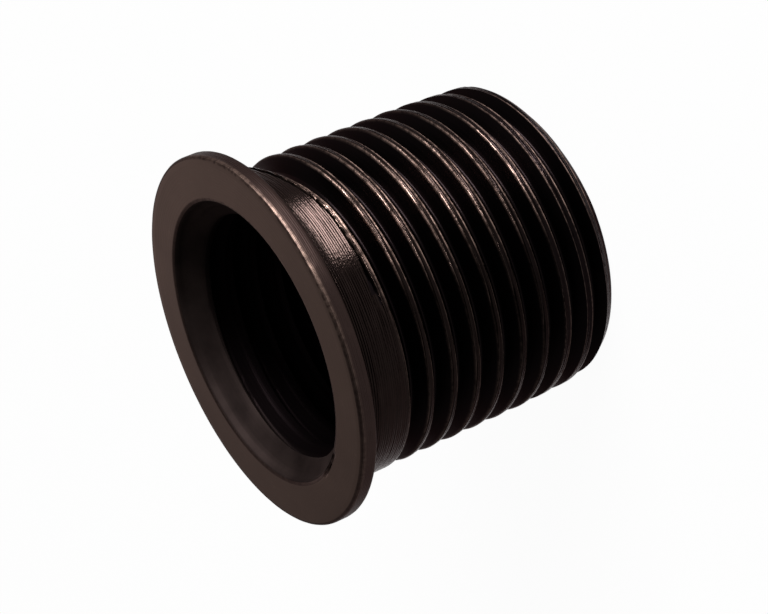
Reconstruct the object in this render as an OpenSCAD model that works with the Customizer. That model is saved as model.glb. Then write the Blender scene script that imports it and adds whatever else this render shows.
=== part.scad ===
// Threaded insert: a thin walled steel sleeve with a thin flange, a plain neck, a fine outer thread
// and a bore sized for a fine inner thread. One turned piece.
// Millimetres. It stands on its threaded end: z = 0 is the end face, +Z is the axis, the flange is on top.

/* [Part] */
// Which sub-part to draw

/* [Flange] */
// How far the flange reaches out past the neck
flange_reach = 1.03; // [0.6:0.01:2.5]
// Thickness of the flange
flange_t = 0.66; // [0.5:0.02:1.4]
// Radius of the flange's upper edge
top_edge_r = 0.12; // [0.04:0.02:0.2]
// Radius of the flange's lower edge
back_edge_r = 0.16; // [0.04:0.02:0.24]

/* [Sleeve] */
// Overall length with the flange
length = 11.85; // [9:0.05:20]
// Diameter of the plain neck and over the thread crests
thread_d = 11.94; // [11.4:0.02:12.4]
// How much smaller the radius is where the lead chamfer begins
end_taper = 0.12; // [0:0.02:0.16]
// Length over which the last turns get smaller
taper_len = 2.8; // [1:0.2:4]
// Height of the lead chamfer on the threaded end
lead_h = 0.46; // [0.3:0.02:1]
// Radial size of the lead chamfer
lead_in = 0.3; // [0.1:0.02:0.4]

/* [Outer thread] */
// Pitch, right-handed
pitch = 1; // [0.8:0.05:1.25]
// Width of the flat on each crest
crest_flat = 0.2; // [0.12:0.02:0.3]
// Width of the flat at each root
root_flat = 0.14; // [0.1:0.02:0.2]
// Included angle of the thread
thread_angle = 60; // [55:5:60]
// Distance from the flange face to the middle of the first groove at +X
neck_reach = 2.75; // [2.3:0.01:4]
// How far the first groove widens towards the flange near its end
relief_w = 0.5; // [0:0.05:0.7]
// Angle past +X at which the groove starts to run out
runout_from = 0; // [0:5:60]
// Angle over which the groove runs out
runout_turn = 100; // [60:5:150]

/* [Bore] */
// Wall from the outer crests to the bore, which has the inner thread's tapping size
sleeve_wall = 1.43; // [1.2:0.01:1.6]
// How much wider in radius the mouth in the flange face is than the bore
mouth_step = 0.71; // [0.4:0.01:1]
// Straight wall of the mouth
mouth_wall = 0.3; // [0.1:0.02:0.4]
// Depth at which the bore starts
mouth_depth = 0.84; // [0.5:0.02:1.2]
// Chamfer of the bore at the threaded end
end_bevel = 0.3; // [0.1:0.05:0.5]

/* [Hidden] */
$fn = 96;
steel = [0.17, 0.145, 0.14];
crest_r = thread_d / 2;
flange_r = crest_r + flange_reach;
bore_r = crest_r - sleeve_wall;
mouth_r = bore_r + mouth_step;
flank_slope = tan(thread_angle / 2);
groove_depth = (pitch - crest_flat - root_flat) / (2 * flank_slope);
root_r = crest_r - groove_depth;
// the cutter reaches this far outside the crests, less than where two turns of it would meet
over = 0.35 * crest_flat / (2 * flank_slope);
steps = 48;
corners = 4;
groove_top_z = length - neck_reach;
runout_end = runout_from + runout_turn;
relief_from = -80;
relief_turn = 75;
below = 0.7 * pitch;
first_step = -ceil((groove_top_z + below) / pitch * steps);
last_step = ceil(runout_end / 360 * steps);
lift = groove_depth + 2 * over;

// a smooth step from 0 to 1
function ease(t) = t <= 0 ? 0 : t >= 1 ? 1 : t * t * (3 - 2 * t);
// how far out of the metal the cutter has moved, and how far its upper side has moved to the flange
function groove_lift(a) = lift * ease((a - runout_from) / runout_turn);
function groove_relief(a) = relief_w * ease((a - relief_from) / relief_turn);
function at(a, r, z) = [r * cos(a), r * sin(a), z];

// the cutter's section at one angle: two corners at the root, two outside the crests
function cutter_ring(i) =
    let (
        a = (i + 0.5) * 360 / steps,
        z = groove_top_z + pitch * a / 360,
        up = groove_lift(a),
        low_r = root_r + up,
        high_r = crest_r + over + up,
        low_h = root_flat / 2,
        high_h = low_h + (high_r - low_r) * flank_slope,
        wide = groove_relief(a)
    )
    [
        at(a, low_r, z - low_h),
        at(a, low_r, z + low_h + wide),
        at(a, high_r, z + high_h + wide),
        at(a, high_r, z - high_h)
    ];

// one helical V-shaped cutter, closed at both ends
module groove_cutter() {
    rings = [for (i = [first_step:last_step]) cutter_ring(i)];
    count = len(rings);
    points = [for (ring = rings) for (p = ring) p];
    sides = [
        for (k = [0:count - 2])
            for (j = [0:corners - 1])
                let (
                    a = corners * k + j,
                    b = corners * k + (j + 1) % corners,
                    c = a + corners,
                    d = b + corners
                )
                each [[a, d, b], [a, c, d]]
    ];
    end = corners * (count - 1);
    caps = [[0, 2, 3], [0, 1, 2], [end, end + 2, end + 1], [end, end + 3, end + 2]];
    polyhedron(points = points, faces = concat(sides, caps), convexity = 12);
}

// half section of the turned blank, bore left solid
module blank_section() {
    difference() {
        polygon([
            [0, 0],
            [crest_r - end_taper - lead_in, 0],
            [crest_r - end_taper, lead_h],
            [crest_r, lead_h + taper_len],
            [crest_r, length - flange_t],
            [flange_r, length - flange_t],
            [flange_r, length],
            [0, length]
        ]);
        translate([flange_r - top_edge_r, length - top_edge_r])
            edge_waste(top_edge_r);
        translate([flange_r - back_edge_r, length - flange_t + back_edge_r])
            mirror([0, 1])
                edge_waste(back_edge_r);
    }
}

// what a rounded corner takes off, the corner pointing to +x +y
module edge_waste(r) {
    difference() {
        square([r + 1, r + 1]);
        circle(r);
    }
}

// half section of the hole: mouth wall, countersink, bore, bevel at the far end
module hole_section() {
    polygon([
        [0, -1],
        [bore_r + end_bevel + 1, -1],
        [bore_r, end_bevel],
        [bore_r, length - mouth_depth],
        [mouth_r, length - mouth_wall],
        [mouth_r, length + 1],
        [0, length + 1]
    ]);
}

module insert_body() {
    color(steel)
        difference() {
            rotate_extrude()
                blank_section();
            rotate_extrude()
                hole_section();
            groove_cutter();
        }
}

insert_body();
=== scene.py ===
import math

import bmesh
import bpy
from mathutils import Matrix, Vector, noise


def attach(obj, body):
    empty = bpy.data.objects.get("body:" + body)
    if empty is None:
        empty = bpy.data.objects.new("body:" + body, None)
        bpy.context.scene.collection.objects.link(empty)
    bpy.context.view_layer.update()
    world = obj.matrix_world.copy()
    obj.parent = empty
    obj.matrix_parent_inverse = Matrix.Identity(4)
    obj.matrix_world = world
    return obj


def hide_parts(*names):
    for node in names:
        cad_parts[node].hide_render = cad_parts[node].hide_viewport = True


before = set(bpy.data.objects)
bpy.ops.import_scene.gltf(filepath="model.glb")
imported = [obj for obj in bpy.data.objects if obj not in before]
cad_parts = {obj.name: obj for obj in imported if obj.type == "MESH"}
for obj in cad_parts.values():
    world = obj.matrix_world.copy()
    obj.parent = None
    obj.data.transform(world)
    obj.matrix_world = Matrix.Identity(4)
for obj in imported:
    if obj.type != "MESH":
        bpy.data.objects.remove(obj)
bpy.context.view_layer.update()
mm = 0.001
print("frame loaded")


# small helpers

# a smooth step from 0 to 1
def ease(t):
    t = min(1.0, max(0.0, t))
    return t * t * (3 - 2 * t)


# scale of a pattern whose grains or ridges lie this many millimetres apart
def scaleOf(size):
    return 1 / (size * mm)


# degrees from one side of the axis to another
def awayFrom(side, at):
    return abs((side - at + 180) % 360 - 180)


# sRGB hex to the linear colour that a shader socket takes
def hexColour(text):
    parts = [int(text[i:i + 2], 16) / 255 for i in (1, 3, 5)]
    return tuple(p / 12.92 if p <= 0.04045 else ((p + 0.055) / 1.055) ** 2.4 for p in parts) + (1.0,)


# radius in millimetres, angle from 0 up to a full turn, and height in millimetres
def polar(v):
    angle = math.atan2(v.co.y, v.co.x) % (2 * math.pi)
    return math.hypot(v.co.x, v.co.y) / mm, angle, v.co.z / mm


def setRadius(v, radius):
    old = math.hypot(v.co.x, v.co.y)
    v.co.x *= radius * mm / old
    v.co.y *= radius * mm / old


# the insert, in millimetres; the same sizes as its solid

insert = {
    "length": 11.85,
    "flangeR": 7.0,
    "flangeT": 0.66,
    "topEdge": 0.12,
    "backEdge": 0.16,
    "crestR": 5.97,
    "endTaper": 0.12,
    "taperLen": 2.8,
    "leadH": 0.46,
    "leadIn": 0.3,
    "boreR": 4.54,
    "mouthR": 5.25,
    "mouthWall": 0.3,
    "mouthDepth": 0.84,
    "endBevel": 0.3,
    "neckUndercut": 0.1,  # shallow hollow of the neck beside the flange
    "undercutH": 0.8,
    "mouthEdge": 0.2,
    "mouthEdgeEnd": 150,  # degrees, where the rounded edge meets the mouth's wall
    "sinkRound": 0.12,  # soft corners of the mouth's cone
    "sinkRings": 8,
    "sinkRing": 0.095,
    "joinGap": 0.03,  # left open between two parts, then bridged
    "arcSteps": 5,
    "rimRings": 4,
    "rimRing": 0.075,
    "neckRing": 0.06,  # out from the neck
    "backRings": (0.12, 0.5),  # out from the crests
    "faceRings": (1.4, 1.1, 0.8, 0.5, 0.4, 0.32, 0.26),  # out from the mouth
    "mouthRing": 0.2,
    "columns": 280,
}

# how near counts as one place, in millimetres
near = {"weld": 0.002, "cut": 0.0005, "level": 0.001, "end": 0.01}

# millimetres, and degrees from +X; bends are the corner's points in units of its edge
outerThread = {
    "pitch": 1.0,
    "angle": 60,
    "crestFlat": 0.2,
    "rootFlat": 0.14,
    "rootCorner": (0.02, 0.035),
    "edge": 0.06,
    "bends": [(-1, 0), (-0.39, 0.1), (0.11, 0.39), (0.5, 0.87), (1.0, 1.74)],
    "turns": (-10, 2),
    "neckReach": 2.75,
    "runoutFrom": 0,
    "runoutTurn": 100,
    "edgeBand": 0.045,  # how far nicks and wear reach from a crest's edge
    "nickDepth": 0.05,
    "nickSize": 1 / 7,
    "nickRare": 0.15,
    "hollow": 0.013,  # the crests dip a little beside their middle
    "hollowAt": 0.46,
    "hollowHalf": 0.08,
    "relief": {  # the first groove widens towards the flange
        "wide": 0.5,
        "start": -62,
        "turn": 42,
        "fade": 60,
        "bottom": 0.03,
        "squeeze": 0.65,
        "lipThin": 0.06,
        "lipAt": 0.42,
        "lipRise": 0.1,
    },
    "seam": {  # torn line between the neck and the first crest
        "start": -100,
        "turn": 25,
        "wide": 0.11,
        "deep": 0.2,
        "uneven": 0.6,
        "unevenSize": 1 / 3,
        "burr": 0.05,
        "burrSize": 1 / 4.5,
        "burrLess": 0.6,
        # height above the first groove's middle, share of the depth, new height, share of the width
        "knots": [
            (0.5, 0, 0.53, 0), (0.55, 0.1, 0.56, 0), (0.58, 0.7, 0.585, 0), (0.605, 1, 0.6, 0),
            (0.625, 1, 0.56, 0.7), (0.65, 0.5, 0.55, 1), (0.91, 0, 0.56, 1), (0.965, 0, 0.61, 1),
            (1.4, 0, 1.4, 0),
        ],
    },
    # partly wear, partly painted highlight: the bared edges gather round the lit side
    "wearAndHighlight": {  # where handling has bared the crests' edges and the seam's lip
        "at": -62,
        "half": 14,
        "fade": 24,
        "less": 0.9,
        "upper": 1.9,
        "lower": 1.2,
        "lip": 0.9,
        "lipFrom": 0.3,
        "lipLess": 0.7,
        "lipRows": (0.52, 0.57),
    },
}

innerThread = {
    "pitch": 1.0,
    "angle": 60,
    "rootR": 4.99,
    "rootFlat": 0.12,
    "rootCorner": (0.02, 0.035),
    "edge": 0.03,
    "bends": [(-1, 0), (0.5, 0.87)],
    "turns": (-2, 13),
    "phase": 0.35,
}


# one pitch of a V groove: distance from its middle, and how far below the crests
def grooveChain(t, halfTop, depth):
    halfRoot = t["rootFlat"] / 2
    aside, above = t["rootCorner"]
    half = [(-t["pitch"] / 2, 0.0)]
    half += [(-halfTop + out * t["edge"], down * t["edge"]) for out, down in t["bends"]]
    half += [(-halfRoot - aside, depth - above), (-halfRoot * 0.5, depth)]
    return half + [(-z, d) for z, d in reversed(half[1:])]


# a chain of vertices over all turns, swept once round with a rise of one pitch; sign 1 cuts inwards
def sweepThread(bm, t, halfTop, depth, crestR, middleZ, sign):
    first, last = t["turns"]
    rows = []
    for turn in range(first, last + 1):
        for off, down in grooveChain(t, halfTop, depth)[:-1]:
            radius = crestR - sign * down
            rows.append(bm.verts.new((radius * mm, 0, (middleZ + turn * t["pitch"] + off) * mm)))
    edges = [bm.edges.new((a, b)) for a, b in zip(rows, rows[1:])]
    columns = insert["columns"]
    bmesh.ops.spin(
        bm, geom=rows + edges, cent=(0, 0, 0), axis=(0, 0, 1), dvec=(0, 0, t["pitch"] * mm / columns),
        angle=2 * math.pi, steps=columns, use_merge=False, use_normal_flip=False, use_duplicate=False,
    )
    bmesh.ops.remove_doubles(bm, verts=bm.verts[:], dist=near["weld"] * mm)


# a ring of edges at height z; clear 1 takes away what is above, -1 what is below
def cutAt(bm, z, clear=0):
    bmesh.ops.bisect_plane(
        bm, geom=bm.verts[:] + bm.edges[:] + bm.faces[:], dist=near["cut"] * mm,
        plane_co=(0, 0, z * mm), plane_no=(0, 0, 1), clear_outer=clear > 0, clear_inner=clear < 0,
    )


# the open edges at height z
def rimEdges(bm, z):
    return [
        e for e in bm.edges
        if e.is_boundary and all(abs(v.co.z - z * mm) < near["level"] * mm for v in e.verts)
    ]


# radius over the crests at height z: plain, then tapered, then the lead chamfer
def crestLine(z):
    p = insert
    return min(
        p["crestR"],
        p["crestR"] - p["endTaper"] * (p["leadH"] + p["taperLen"] - z) / p["taperLen"],
        p["crestR"] - p["endTaper"] - p["leadIn"] * (p["leadH"] - z) / p["leadH"],
    )


# how deep the seam is, as a share, and where a point at height step moves to
def seamAt(step):
    wide, knots = outerThread["seam"]["wide"], outerThread["seam"]["knots"]
    for (low, deepA, baseA, partA), (high, deepB, baseB, partB) in zip(knots, knots[1:]):
        if low <= step <= high:
            share = (step - low) / (high - low)
            placeA, placeB = baseA + wide * partA, baseB + wide * partB
            return deepA + (deepB - deepA) * share, placeA + (placeB - placeA) * share
    return 0, step


# threaded outside and plain neck, open at both ends
def makeOuter(bm):
    p, t = insert, outerThread
    relief, seam, wearAndHighlight = t["relief"], t["seam"], t["wearAndHighlight"]
    halfTop = (t["pitch"] - t["crestFlat"]) / 2
    depth = (halfTop - t["rootFlat"] / 2) / math.tan(math.radians(t["angle"] / 2))
    middle = p["length"] - t["neckReach"]
    backZ = p["length"] - p["flangeT"]
    topZ = backZ - p["joinGap"]
    sweepThread(bm, t, halfTop, depth, p["crestR"], middle, 1)
    cutAt(bm, 0, -1)
    cutAt(bm, topZ, 1)
    cutAt(bm, p["leadH"])
    wearAndPaintedLight = bm.verts.layers.float.new("wearAndPaintedLight")
    groove = bm.verts.layers.float.new("groove")
    runoutEnd = t["runoutFrom"] + t["runoutTurn"]
    low, high = seam["knots"][0][0], seam["knots"][-1][0]
    for v in bm.verts:
        radius, angle, z = polar(v)
        rise = (z - middle) / t["pitch"] - angle / (2 * math.pi)
        turn = math.floor(rise + 0.5)
        off = (rise - turn) * t["pitch"]
        turned = 360 * (turn + angle / (2 * math.pi))
        keep = 1 - ease((turned - t["runoutFrom"]) / t["runoutTurn"])
        down = (p["crestR"] - radius) * keep
        edge = max(0, 1 - abs(abs(off) - halfTop) / t["edgeBand"]) * keep
        nick = max(0, noise.noise(v.co * scaleOf(t["nickSize"])) - t["nickRare"])
        nick *= t["nickDepth"] * edge
        beside = abs(off % t["pitch"] - t["hollowAt"]) / t["hollowHalf"]
        hollow = t["hollow"] * keep * max(0, 1 - beside)

        # step is the height above the first groove's middle on this side
        side = math.degrees(angle if angle < math.pi else angle - 2 * math.pi)
        step = z - middle - t["pitch"] * side / 360
        torn = ease((side - seam["start"]) / seam["turn"])
        torn *= 1 - ease((side - t["runoutFrom"]) / t["runoutTurn"])
        widened = ease((side - relief["start"]) / relief["turn"])
        widened *= 1 - ease((side - runoutEnd) / relief["fade"])

        # the seam and its ragged lip
        if low < step < high and torn > 0:
            deep, moved = seamAt(step)
            burr = seam["burr"] * torn * (1 - seam["burrLess"] * widened)
            burr *= noise.noise(v.co * scaleOf(seam["burrSize"])) * (deep > 0)
            z += (moved - step) * torn + burr
            uneven = 1 + seam["uneven"] * noise.noise(v.co * scaleOf(seam["unevenSize"]))
            down = seam["deep"] * deep * torn * uneven
            hollow = 0

        # the widening, which squeezes what is above it
        if relief["bottom"] < step < high:
            place = z - middle - t["pitch"] * side / 360
            thin = relief["lipThin"] * ease((step - relief["lipAt"]) / relief["lipRise"])
            thin *= min(1, (high - step) / relief["squeeze"])
            z += widened * (relief["wide"] * min(1, (high - place) / relief["squeeze"]) - thin)

        # wear: above 0 on bare edges, gathered round the lit side as a painted highlight; below 0 marks
        # painted shade on the crests' flats
        bare = 1 - wearAndHighlight["less"] * ease((awayFrom(side, wearAndHighlight["at"]) - wearAndHighlight["half"]) / wearAndHighlight["fade"])
        if step > wearAndHighlight["lipFrom"]:
            bare *= 1 - wearAndHighlight["lipLess"] * widened
        if edge > 0:
            v[wearAndPaintedLight] = bare * edge * wearAndHighlight["upper" if off > 0 else "lower"]
        else:
            v[wearAndPaintedLight] = -keep * (abs(off) > halfTop)
        if step > wearAndHighlight["lipRows"][0]:
            v[wearAndPaintedLight] = wearAndHighlight["lip"] * bare * torn * (step < wearAndHighlight["lipRows"][1])
        v[groove] = down
        undercut = p["neckUndercut"] * (1 - ease((backZ - z) / p["undercutH"]))
        setRadius(v, min(p["crestR"] - down - undercut - hollow, crestLine(z)) - nick)
        if near["end"] < z < topZ - near["end"]:
            v.co.z = z * mm


# radius of the hole at height z near the flange: bore, cone with soft corners, mouth wall
def mouthLine(z):
    p = insert
    r = p["sinkRound"]
    top, low = p["length"] - p["mouthWall"], p["length"] - p["mouthDepth"]
    slope = (p["mouthR"] - p["boreR"]) / (top - low)
    if z <= low - r:
        return p["boreR"]
    if z < low + r:
        return p["boreR"] + slope * (z - low + r) ** 2 / (4 * r)
    if z < top - r:
        return p["boreR"] + slope * (z - low)
    if z < top + r:
        return p["mouthR"] - slope * (top + r - z) ** 2 / (4 * r)
    return p["mouthR"]


# threaded bore with its cone and the bevel at the far end, open at both ends
def makeInner(bm):
    p, t = insert, innerThread
    depth = t["rootR"] - p["boreR"]
    halfTop = t["rootFlat"] / 2 + depth * math.tan(math.radians(t["angle"] / 2))
    sweepThread(bm, t, halfTop, depth, p["boreR"], t["phase"], -1)
    topZ = p["length"] - p["mouthWall"]
    cutAt(bm, 0, -1)
    cutAt(bm, topZ, 1)
    for ring in range(1, p["sinkRings"] + 1):
        cutAt(bm, topZ - p["sinkRing"] * ring)
    cutAt(bm, p["endBevel"])
    for v in bm.verts:
        radius, angle, z = polar(v)
        bevel = p["boreR"] + p["endBevel"] - z
        setRadius(v, max(radius, mouthLine(z), bevel))


# knocks and wear of the flange, its rubbed top edge partly a painted highlight: millimetres and degrees
# from +X
knocks = {
    "rim": [(284, 11.72, 0.035), (263, 11.4, 0.03), (231, 11.6, 0.03), (310, 11.75, 0.02)],
    "rimHalf": 0.16,
    "rimFrom": 0.6,  # out from the crests
    "dentDepth": 0.012,
    "dentSize": 1 / 1.5,
    "dentRare": 0.1,
    "mouthAt": 203.5,
    "mouthSpan": 9,
    "mouthReach": (0.02, 0.4),
    "mouthLow": 0.3,
    "mouthDown": 0.3,
    "mouthDownAt": 0.15,
    "mouthDownHalf": 0.1,
    "mouthIn": 0.14,
    "mouthMean": 0.6,
    "mouthUneven": 0.8,
    "mouthSize": 1 / 5,
    # the rubbed top edge, gathered round the lit side as a painted highlight
    "wearHighlightAt": 305,
    "wearHighlightHalf": 25,
    "wearHighlightFade": 45,
    "wornLeast": 0.25,
    "wornMean": 0.75,
    "wornUneven": 0.5,
    "wornSize": 1 / 0.9,
    "wornCorner": 0.99,
    "wornLow": 0.13,
}


def arcPoints(centreR, centreZ, radius, start, end):
    count = insert["arcSteps"]
    for i in range(count + 1):
        a = math.radians(start + (end - start) * i / count)
        yield centreR + radius * math.cos(a), centreZ + radius * math.sin(a)


# half section of the flange, from the neck's corner round to the cone
def flangeLine():
    p = insert
    top, back = p["length"], p["length"] - p["flangeT"]
    neckR = p["crestR"] - p["neckUndercut"]
    spots = [(neckR, back), (neckR + p["neckRing"], back)]
    spots += [(p["crestR"] + ring, back) for ring in p["backRings"]]
    spots += arcPoints(p["flangeR"] - p["backEdge"], back + p["backEdge"], p["backEdge"], -90, 0)
    for i in range(1, p["rimRings"] + 1):
        spots.append((p["flangeR"], back + p["backEdge"] + p["rimRing"] * i))
    spots += arcPoints(p["flangeR"] - p["topEdge"], top - p["topEdge"], p["topEdge"], 0, 90)
    spots += [(p["mouthR"] + ring, top) for ring in p["faceRings"]]
    spots += arcPoints(
        p["mouthR"] + p["mouthEdge"], top - p["mouthEdge"], p["mouthEdge"], 90, p["mouthEdgeEnd"],
    )
    downs = (p["mouthRing"], p["mouthWall"] - p["joinGap"])
    return spots + [(mouthLine(top - down), top - down) for down in downs]


# flange and mouth wall, with their knocks
def makeFlange(bm):
    p, k = insert, knocks
    top = p["length"]
    rows = [bm.verts.new((r * mm, 0, z * mm)) for r, z in flangeLine()]
    edges = [bm.edges.new((a, b)) for a, b in zip(rows, rows[1:])]
    bmesh.ops.spin(
        bm, geom=rows + edges, cent=(0, 0, 0), axis=(0, 0, 1), dvec=(0, 0, 0), angle=2 * math.pi,
        steps=p["columns"], use_merge=True, use_normal_flip=False, use_duplicate=False,
    )
    wearAndPaintedLight = bm.verts.layers.float.new("wearAndPaintedLight")
    inside, outside = (p["mouthR"] + reach for reach in k["mouthReach"])
    for v in bm.verts:
        radius, angle, z = polar(v)
        turned = math.degrees(angle)
        corner = math.hypot(radius - p["flangeR"] + p["topEdge"], z - top + p["topEdge"])
        corner /= p["topEdge"]
        # the top edge rubbed bare, gathered round the lit side as a painted highlight
        if corner > k["wornCorner"] and z > top - k["wornLow"]:
            bare = 1 - ease((awayFrom(turned, k["wearHighlightAt"]) - k["wearHighlightHalf"]) / k["wearHighlightFade"])
            patchy = k["wornMean"] + k["wornUneven"] * noise.noise(v.co * scaleOf(k["wornSize"]))
            v[wearAndPaintedLight] = (k["wornLeast"] + (1 - k["wornLeast"]) * bare) * patchy
        if radius > p["crestR"] + k["rimFrom"]:
            dent = k["dentDepth"] * max(0, noise.noise(v.co * scaleOf(k["dentSize"])) - k["dentRare"])
            for at, height, deep in k["rim"]:
                apart = math.hypot(math.radians(turned - at) * radius, z - height) / k["rimHalf"]
                dent += deep * max(0, 1 - apart * apart)
            radius -= dent
        aside = (turned - k["mouthAt"]) / k["mouthSpan"]
        if abs(aside) < 1 and z > top - k["mouthLow"] and radius < outside:
            part = 1 - aside ** 2
            rough = k["mouthMean"] + k["mouthUneven"] * noise.noise(v.co * scaleOf(k["mouthSize"]))
            if inside < radius:
                ring = abs(radius - p["mouthR"] - k["mouthDownAt"]) / k["mouthDownHalf"]
                z -= k["mouthDown"] * part * rough * max(0, 1 - ring)
            else:
                radius -= k["mouthIn"] * part * rough
        setRadius(v, radius)
        v.co.z = z * mm


# places of the finishes in oxide["finishes"]
cutThread, turnedNeck, facedFlange, tappedBore, turnedRim, turnedMouth = range(6)

# where one finish ends, in millimetres, and the angle past which an edge stays sharp
finishEnds = {"grooveDepth": 0.03, "mouthRim": 0.1, "sharpAngle": 35}


def finishAt(make, face, groove):
    middle = face.calc_center_median()
    if make is makeInner:
        sinkZ = insert["length"] - insert["mouthDepth"]
        return turnedMouth if middle.z > sinkZ * mm else tappedBore
    if make is makeFlange:
        if middle.z > (insert["length"] - near["level"]) * mm:
            return facedFlange
        mouthEnd = (insert["mouthR"] + finishEnds["mouthRim"]) * mm
        return turnedRim if math.hypot(middle.x, middle.y) > mouthEnd else turnedMouth
    cut = max(v[groove] for v in face.verts) >= finishEnds["grooveDepth"]
    return cutThread if cut else turnedNeck


def joinRims(bm, firstZ, secondZ):
    bmesh.ops.bridge_loops(bm, edges=rimEdges(bm, firstZ) + rimEdges(bm, secondZ))


def makeInsert():
    p = insert
    body = bmesh.new()
    for make in (makeOuter, makeInner, makeFlange):
        part = bmesh.new()
        make(part)
        groove = part.verts.layers.float.get("groove")
        for f in part.faces:
            f.material_index = finishAt(make, f, groove)
        holder = bpy.data.meshes.new("part")
        part.to_mesh(holder)
        part.free()
        body.from_mesh(holder)
        bpy.data.meshes.remove(holder)
    back, mouth = p["length"] - p["flangeT"], p["length"] - p["mouthWall"]
    joinRims(body, back - p["joinGap"], back)
    joinRims(body, mouth + p["joinGap"], mouth)
    bmesh.ops.triangle_fill(
        body, edges=rimEdges(body, 0), use_beauty=True, use_dissolve=False, normal=(0, 0, -1),
    )
    bmesh.ops.dissolve_degenerate(body, edges=body.edges[:], dist=near["level"] * mm)
    bmesh.ops.recalc_face_normals(body, faces=body.faces[:])
    openEdges = [e for e in body.edges if not e.is_manifold]
    print("insert: faces", len(body.faces), "open edges", len(openEdges))
    mesh = bpy.data.meshes.new("insertBody")
    body.to_mesh(mesh)
    body.free()
    piece = bpy.data.objects.new("insertBody", mesh)
    bpy.context.scene.collection.objects.link(piece)
    return piece


# materials

# one node with its settings and what is linked into it
def addNode(tree, kind, settings=None, links=None):
    node = tree.nodes.new(kind)
    for name, value in (settings or {}).items():
        if isinstance(name, int) or name in node.inputs:
            node.inputs[name].default_value = value
        else:
            setattr(node, name, value)
    for name, source in (links or {}).items():
        tree.links.new(source, node.inputs[name])
    return node


# black oxide on turned steel: a dark brown-black skin that mirrors softly and shows the tool's ridges;
# sizes are millimetres, colours sRGB
oxide = {
    "faceDark": "#463a35",
    "faceLight": "#55463f",
    "neckDark": "#1a1513",
    "neckLight": "#2a211f",
    "rimDark": "#261d1c",
    "rimLight": "#352a27",
    "cutDark": "#110d0e",
    "cutLight": "#161112",
    "mouthDark": "#070505",
    "mouthLight": "#3c3230",
    "paintedBoreShade": "#0d090a",
    # bared steel for the worn edges, bright enough to stand as a painted highlight on the lit side
    "wearAndHighlight": "#a78c81",
    "rimWorn": "#5c4c45",
    "wornRough": 0.42,
    # the painted shade's colour, for the crests' flats, the grooves and the neck's -X side
    "deep": "#070505",
    "edgeTint": (0.54, 0.51, 0.51, 1),
    "ridgeAround": 1 / 0.26,  # how far round the part a ridge stays the same
    "ridgeUneven": 1.2,
    "ridgeBack": 1.3,  # a ridge's long side against its steep one
    "ridgeRough": 1.3,
    "pitSize": 1 / 9,
    "pitShare": 0.25,
    "blotchSize": 1 / 0.42,
    "speckSize": 1 / 4.2,
    "speckRare": (0.66, 0.76),
    "speckShare": 0.5,
    "fleckSize": 1 / 5,
    "fleckRare": (0.38, 0.56),
    "fleckLeast": 0.3,
    # how far painted shade darkens the crests' flats and the deep grooves
    "paintedCrestShade": 0.35,
    "grooveDepth": (0.12, 0.4),
    "paintedGrooveShade": 0.45,
    "duskSpan": (-1.5, 1.5),  # along X, from the blunter ridges to the crisp ones
    "duskRidges": 0.65,
    # painted shade: how much darker the neck grows towards -X
    "duskShade": 0.45,
    "finishes": {
        # single-point cut flanks: smooth and almost black, with painted shade deep in the grooves and a
        # painted highlight on bared edges of the lit side
        "blackOxideCutThread": {
            "rough": 0.3, "aniso": 0.3, "ridge": 0.09, "slope": 0.02, "tone": "cut", "bare": "wearAndHighlight",
            "shadeBy": "groove",
        },
        # neck and crests from a coarse feed: sharp bright rings, with painted shade on the crests' flats,
        # towards -X and towards the far end, and a painted highlight on bared edges of the lit side
        "blackOxideTurnedNeck": {
            "rough": 0.2, "aniso": 0.4, "ridge": 0.085, "slope": 0.38, "tone": "neck", "bare": "wearAndHighlight",
            "shadeBy": "wearAndPaintedLight", "fade": ("cutDark", 1, 6), "dusk": True,
        },
        # faced flange: an even satin brown with fine specks
        "blackOxideFacedFlange": {
            "rough": 0.36, "aniso": 0.1, "ridge": 0.12, "slope": 0.012, "tone": "face", "faced": True,
        },
        # tapped bore: dull, with painted shade that makes it black further down
        "blackOxideTappedBore": {
            "rough": 0.6, "aniso": 0.1, "ridge": 0.1, "slope": 0.05, "tone": "mouth",
            "fade": ("paintedBoreShade", 10.6, 11.1),
        },
        # turned rim: satin, rubbed brown along its edge, the rubbing gathered on the lit side as a
        # painted highlight
        "blackOxideTurnedRim": {
            "rough": 0.42, "aniso": 0.3, "ridge": 0.07, "slope": 0.17, "tone": "rim", "bare": "rimWorn",
            "shadeBy": "wearAndPaintedLight",
        },
        # turned mouth: dull and blotchy
        "blackOxideTurnedMouth": {
            "rough": 0.75, "aniso": 0.1, "ridge": 0.1, "slope": 0.03, "tone": "mouth",
        },
    },
}


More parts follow.
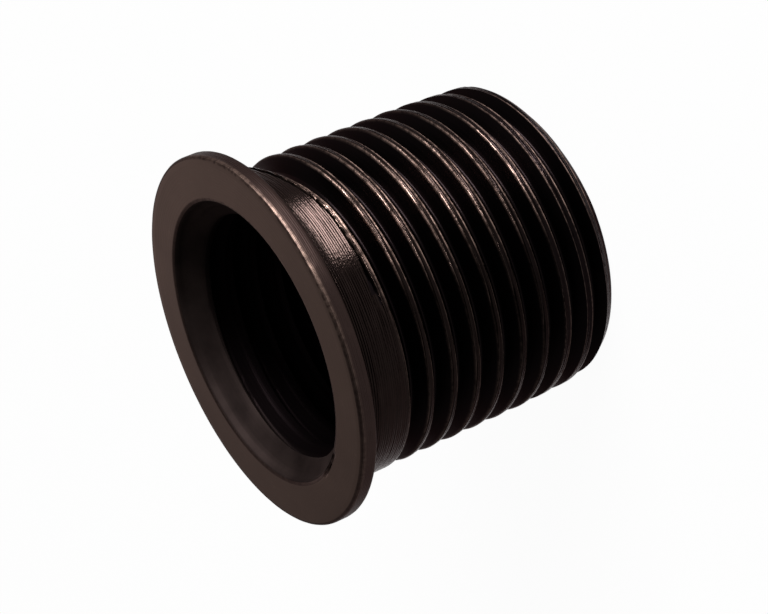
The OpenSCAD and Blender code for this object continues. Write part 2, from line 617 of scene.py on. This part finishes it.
# ridges of the tool: saw teeth that lean to the flange, each a little uneven round the part, and pits
def toolRidges(tree, place, along, look):
    turns = addNode(
        tree, "ShaderNodeMath", {"operation": "MULTIPLY", 1: scaleOf(look["ridge"])}, {0: along},
    )
    slow = scaleOf(oxide["ridgeAround"])
    around = addNode(
        tree, "ShaderNodeVectorMath", {"operation": "MULTIPLY", 1: (slow, slow, 0)}, {0: place},
    )
    rows = addNode(tree, "ShaderNodeCombineXYZ", None, {2: turns.outputs[0]})
    rows = addNode(
        tree, "ShaderNodeVectorMath", {"operation": "ADD"}, {0: rows.outputs[0], 1: around.outputs[0]},
    )
    marks = addNode(
        tree, "ShaderNodeTexNoise", {"Scale": 1.0, "Detail": 2.0, "Roughness": 0.6},
        {"Vector": rows.outputs[0]},
    )
    uneven = addNode(
        tree, "ShaderNodeMath", {"operation": "MULTIPLY_ADD", 1: oxide["ridgeUneven"]},
        {0: marks.outputs[0], 2: turns.outputs[0]},
    )
    tooth = addNode(tree, "ShaderNodeMath", {"operation": "FRACT"}, {0: uneven.outputs[0]})
    back = addNode(
        tree, "ShaderNodeMath", {"operation": "MULTIPLY", 1: oxide["ridgeBack"]}, {0: tooth.outputs[0]},
    )
    front = addNode(tree, "ShaderNodeMath", {"operation": "SUBTRACT", 0: 1.0}, {1: tooth.outputs[0]})
    ridge = addNode(
        tree, "ShaderNodeMath", {"operation": "MINIMUM"}, {0: back.outputs[0], 1: front.outputs[0]},
    )
    rough = addNode(
        tree, "ShaderNodeMath", {"operation": "MULTIPLY_ADD", 1: oxide["ridgeRough"]},
        {0: marks.outputs[0], 2: ridge.outputs[0]},
    )
    pits = addNode(
        tree, "ShaderNodeTexNoise", {"Scale": scaleOf(oxide["pitSize"]), "Detail": 2.0, "Roughness": 0.5},
        {"Vector": place},
    )
    return addNode(
        tree, "ShaderNodeMath", {"operation": "MULTIPLY_ADD", 1: oxide["pitShare"]},
        {0: pits.outputs[0], 2: rough.outputs[0]},
    ).outputs[0]


# blotches that the bath leaves
def bathTone(tree, place, look):
    blotch = addNode(
        tree, "ShaderNodeTexNoise",
        {"Scale": scaleOf(oxide["blotchSize"]), "Detail": 5.0, "Roughness": 0.6}, {"Vector": place},
    )
    dark, light = (hexColour(oxide[look["tone"] + end]) for end in ("Dark", "Light"))
    return addNode(
        tree, "ShaderNodeMix", {"data_type": "RGBA", 6: dark, 7: light}, {0: blotch.outputs[0]},
    ).outputs[2]


# fine brown specks of the faced flange
def speckTone(tree, place, tone):
    speck = addNode(
        tree, "ShaderNodeTexNoise",
        {"Scale": scaleOf(oxide["speckSize"]), "Detail": 2.0, "Roughness": 0.5}, {"Vector": place},
    )
    low, high = oxide["speckRare"]
    speck = addNode(
        tree, "ShaderNodeMapRange",
        {"From Min": low, "From Max": high, "To Min": 0.0, "To Max": oxide["speckShare"]},
        {"Value": speck.outputs[0]},
    )
    return addNode(
        tree, "ShaderNodeMix", {"data_type": "RGBA", 7: hexColour(oxide["rimWorn"])},
        {0: speck.outputs[0], 6: tone},
    ).outputs[2]


# bare steel in flecks along the worn edges, partly a painted highlight, and how bare each place is
def wearAndPaintedLightTone(tree, place, tone, look):
    fine = addNode(
        tree, "ShaderNodeTexNoise",
        {"Scale": scaleOf(oxide["fleckSize"]), "Detail": 3.0, "Roughness": 0.6}, {"Vector": place},
    )
    low, high = oxide["fleckRare"]
    spotty = addNode(
        tree, "ShaderNodeMapRange",
        {"From Min": low, "From Max": high, "To Min": oxide["fleckLeast"], "To Max": 1.0},
        {"Value": fine.outputs[0]},
    )
    wearAndPaintedLight = addNode(tree, "ShaderNodeAttribute", {"attribute_name": "wearAndPaintedLight"}).outputs["Fac"]
    bare = addNode(
        tree, "ShaderNodeMath", {"operation": "MULTIPLY", "use_clamp": True},
        {0: wearAndPaintedLight, 1: spotty.outputs[0]},
    ).outputs[0]
    tone = addNode(
        tree, "ShaderNodeMix", {"data_type": "RGBA", 7: hexColour(oxide[look["bare"]])},
        {0: bare, 6: tone},
    ).outputs[2]

    # painted shade: darker on the crests' flats, or deep in the grooves
    start, end, shade = 0.0, -1.0, oxide["paintedCrestShade"]
    if look["shadeBy"] == "groove":
        start, end = oxide["grooveDepth"]
        shade = oxide["paintedGrooveShade"]
    depth = addNode(tree, "ShaderNodeAttribute", {"attribute_name": look["shadeBy"]}).outputs["Fac"]
    paintedShade = addNode(
        tree, "ShaderNodeMapRange", {"From Min": start, "From Max": end, "To Min": 0.0, "To Max": shade},
        {"Value": depth},
    )
    tone = addNode(
        tree, "ShaderNodeMix", {"data_type": "RGBA", 7: hexColour(oxide["deep"])},
        {0: paintedShade.outputs[0], 6: tone},
    ).outputs[2]
    return tone, bare


# painted shade: another, darker tone from one height to the next
def paintedShadeFade(tree, along, tone, look):
    other, low, high = look["fade"]
    share = addNode(
        tree, "ShaderNodeMapRange",
        {"From Min": low * mm, "From Max": high * mm, "To Min": 0.0, "To Max": 1.0}, {"Value": along},
    )
    return addNode(
        tree, "ShaderNodeMix", {"data_type": "RGBA", 6: hexColour(oxide[other])},
        {0: share.outputs[0], 7: tone},
    ).outputs[2]


def blackOxide(name, look):
    m = bpy.data.materials.new(name)
    m.use_nodes = True
    tree = m.node_tree
    tree.nodes.clear()
    place = addNode(tree, "ShaderNodeTexCoord").outputs["Object"]
    if "faced" in look:
        flat = addNode(tree, "ShaderNodeVectorMath", {"operation": "MULTIPLY", 1: (1, 1, 0)}, {0: place})
        along = addNode(tree, "ShaderNodeVectorMath", {"operation": "LENGTH"}, {0: flat.outputs[0]})
        along = along.outputs["Value"]
    else:
        along = addNode(tree, "ShaderNodeSeparateXYZ", None, {0: place}).outputs["Z"]
    height = toolRidges(tree, place, along, look)
    tone = bathTone(tree, place, look)
    if "faced" in look:
        tone = speckTone(tree, place, tone)
    if "bare" in look:
        tone, bare = wearAndPaintedLightTone(tree, place, tone, look)
        rough = addNode(
            tree, "ShaderNodeMapRange", {"To Min": look["rough"], "To Max": oxide["wornRough"]},
            {"Value": bare},
        )
    if "fade" in look:
        tone = paintedShadeFade(tree, along, tone, look)

    # towards -X the ridges are blunter, and on the neck painted shade darkens the colour
    across = addNode(tree, "ShaderNodeSeparateXYZ", None, {0: place}).outputs["X"]
    start, end = oxide["duskSpan"]
    span = {"From Min": start * mm, "From Max": end * mm}
    crisp = addNode(
        tree, "ShaderNodeMapRange", {**span, "To Min": oxide["duskRidges"], "To Max": 1.0},
        {"Value": across},
    )
    if "dusk" in look:
        paintedSideShade = addNode(
            tree, "ShaderNodeMapRange", {**span, "To Min": oxide["duskShade"], "To Max": 0.0},
            {"Value": across},
        )
        tone = addNode(
            tree, "ShaderNodeMix", {"data_type": "RGBA", 7: hexColour(oxide["deep"])},
            {0: paintedSideShade.outputs[0], 6: tone},
        ).outputs[2]
    bump = addNode(
        tree, "ShaderNodeBump", {"Distance": look["slope"] * look["ridge"] * mm},
        {"Height": height, "Strength": crisp.outputs[0]},
    )
    tangent = addNode(tree, "ShaderNodeTangent", {"direction_type": "RADIAL", "axis": "Z"})
    shader = addNode(
        tree, "ShaderNodeBsdfPrincipled",
        {
            "Metallic": 1.0, "Roughness": look["rough"], "Anisotropic": look["aniso"],
            "Anisotropic Rotation": 0.25, "Specular Tint": oxide["edgeTint"],
        },
        {"Base Color": tone, "Normal": bump.outputs[0], "Tangent": tangent.outputs[0]},
    )
    if "bare" in look:
        tree.links.new(rough.outputs[0], shader.inputs["Roughness"])
    addNode(tree, "ShaderNodeOutputMaterial", None, {"Surface": shader.outputs[0]})
    return m


piece = makeInsert()
piece.data.shade_smooth()
piece.data.set_sharp_from_angle(angle=math.radians(finishEnds["sharpAngle"]))
for finishName, look in oxide["finishes"].items():
    piece.data.materials.append(blackOxide(finishName, look))
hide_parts("insert_body")
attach(piece, "root")
print("insert made")


# floor, light and camera; metres and watts

studio = {
    "floorColour": "#fafafa",
    "floorSize": 0.9,
    "floorSides": 96,
    "paperGlow": 0.96,
    "wallLight": 0.55,
    "ceilingLight": 0.28,
    "wallFrom": 0.1,
    "ceilingFrom": 0.9,
    "brightSide": (0.5, 0.85, 0.0),
    "dimShare": 0.12,
    "brightShare": 1.35,
    "lamps": {
        "keyBox": {"place": (0.3238, -0.2530, 0.0974), "size": (0.32, 0.07), "power": 4.5},
        "sideBox": {"place": (0.074, 0.419, 0.1525), "size": (0.1425, 0.127), "power": 0.06},
    },
    "lampAim": (0, 0, 0.006),
    "lens": 116.39,
    "sensor": 36,
    "nearest": 0.001,
    "cameraPlace": (-0.000647, -0.080836, 0.046938),
    "cameraTurn": (-37.8671, 55.4344, -133.3572),
}


def makeFloor():
    bm = bmesh.new()
    bmesh.ops.create_circle(
        bm, cap_ends=True, cap_tris=False, segments=studio["floorSides"], radius=studio["floorSize"],
    )
    mesh = bpy.data.meshes.new("floor")
    bm.to_mesh(mesh)
    bm.free()
    floor = bpy.data.objects.new("floor", mesh)
    bpy.context.scene.collection.objects.link(floor)
    mesh.materials.append(whitePaper())


# matt uncoated paper: lit as it is, with a share of plain white for the camera and what mirrors it
def whitePaper():
    m = bpy.data.materials.new("whitePaper")
    m.use_nodes = True
    tree = m.node_tree
    tree.nodes.clear()
    ray = addNode(tree, "ShaderNodeLightPath")
    seen = addNode(
        tree, "ShaderNodeMath", {"operation": "MAXIMUM"},
        {0: ray.outputs["Is Camera Ray"], 1: ray.outputs["Is Glossy Ray"]},
    )
    seen = addNode(
        tree, "ShaderNodeMath", {"operation": "MAXIMUM"},
        {0: seen.outputs[0], 1: ray.outputs["Is Transmission Ray"]},
    )
    share = addNode(
        tree, "ShaderNodeMath", {"operation": "MULTIPLY", 1: studio["paperGlow"]}, {0: seen.outputs[0]},
    )
    lit = addNode(tree, "ShaderNodeBsdfDiffuse", {"Color": hexColour(studio["floorColour"])})
    glow = addNode(tree, "ShaderNodeEmission", {"Color": (1, 1, 1, 1), "Strength": 1.0})
    both = addNode(
        tree, "ShaderNodeMixShader", None, {0: share.outputs[0], 1: lit.outputs[0], 2: glow.outputs[0]},
    )
    addNode(tree, "ShaderNodeOutputMaterial", None, {"Surface": both.outputs[0]})
    return m


# a pale room: walls lit, ceiling dim, one side brighter
def softRoom():
    world = bpy.data.worlds.new("softRoom")
    bpy.context.scene.world = world
    world.use_nodes = True
    tree = world.node_tree
    tree.nodes.clear()
    way = addNode(tree, "ShaderNodeTexCoord").outputs["Generated"]
    height = addNode(tree, "ShaderNodeSeparateXYZ", None, {0: way}).outputs["Z"]
    level = addNode(
        tree, "ShaderNodeMapRange",
        {
            "From Min": studio["wallFrom"], "From Max": studio["ceilingFrom"],
            "To Min": studio["wallLight"], "To Max": studio["ceilingLight"],
        },
        {"Value": height},
    )
    side = addNode(
        tree, "ShaderNodeVectorMath", {"operation": "DOT_PRODUCT", 1: studio["brightSide"]}, {0: way},
    )
    share = addNode(
        tree, "ShaderNodeMapRange",
        {
            "From Min": -1.0, "From Max": 1.0,
            "To Min": studio["dimShare"], "To Max": studio["brightShare"],
        },
        {"Value": side.outputs["Value"]},
    )
    strength = addNode(
        tree, "ShaderNodeMath", {"operation": "MULTIPLY"}, {0: level.outputs[0], 1: share.outputs[0]},
    )
    back = addNode(
        tree, "ShaderNodeBackground", {"Color": (1, 1, 1, 1)}, {"Strength": strength.outputs[0]},
    )
    addNode(tree, "ShaderNodeOutputWorld", None, {"Surface": back.outputs[0]})


def addLamp(name, place, size, power):
    data = bpy.data.lights.new(name, "AREA")
    data.shape = "RECTANGLE"
    data.size, data.size_y = size
    data.energy = power
    lamp = bpy.data.objects.new(name, data)
    lamp.location = place
    aim = Vector(studio["lampAim"]) - Vector(place)
    lamp.rotation_euler = aim.to_track_quat("-Z", "Y").to_euler()
    bpy.context.scene.collection.objects.link(lamp)


makeFloor()
softRoom()
for lampName, lamp in studio["lamps"].items():
    addLamp(lampName, lamp["place"], lamp["size"], lamp["power"])

camera = bpy.data.objects.new("camera", bpy.data.cameras.new("camera"))
camera.data.sensor_width = studio["sensor"]
camera.data.lens = studio["lens"]
camera.data.clip_start = studio["nearest"]
camera.location = studio["cameraPlace"]
camera.rotation_euler = [math.radians(a) for a in studio["cameraTurn"]]
bpy.context.scene.collection.objects.link(camera)
bpy.context.scene.camera = camera
bpy.context.scene.view_settings.view_transform = "Standard"
print("studio made")
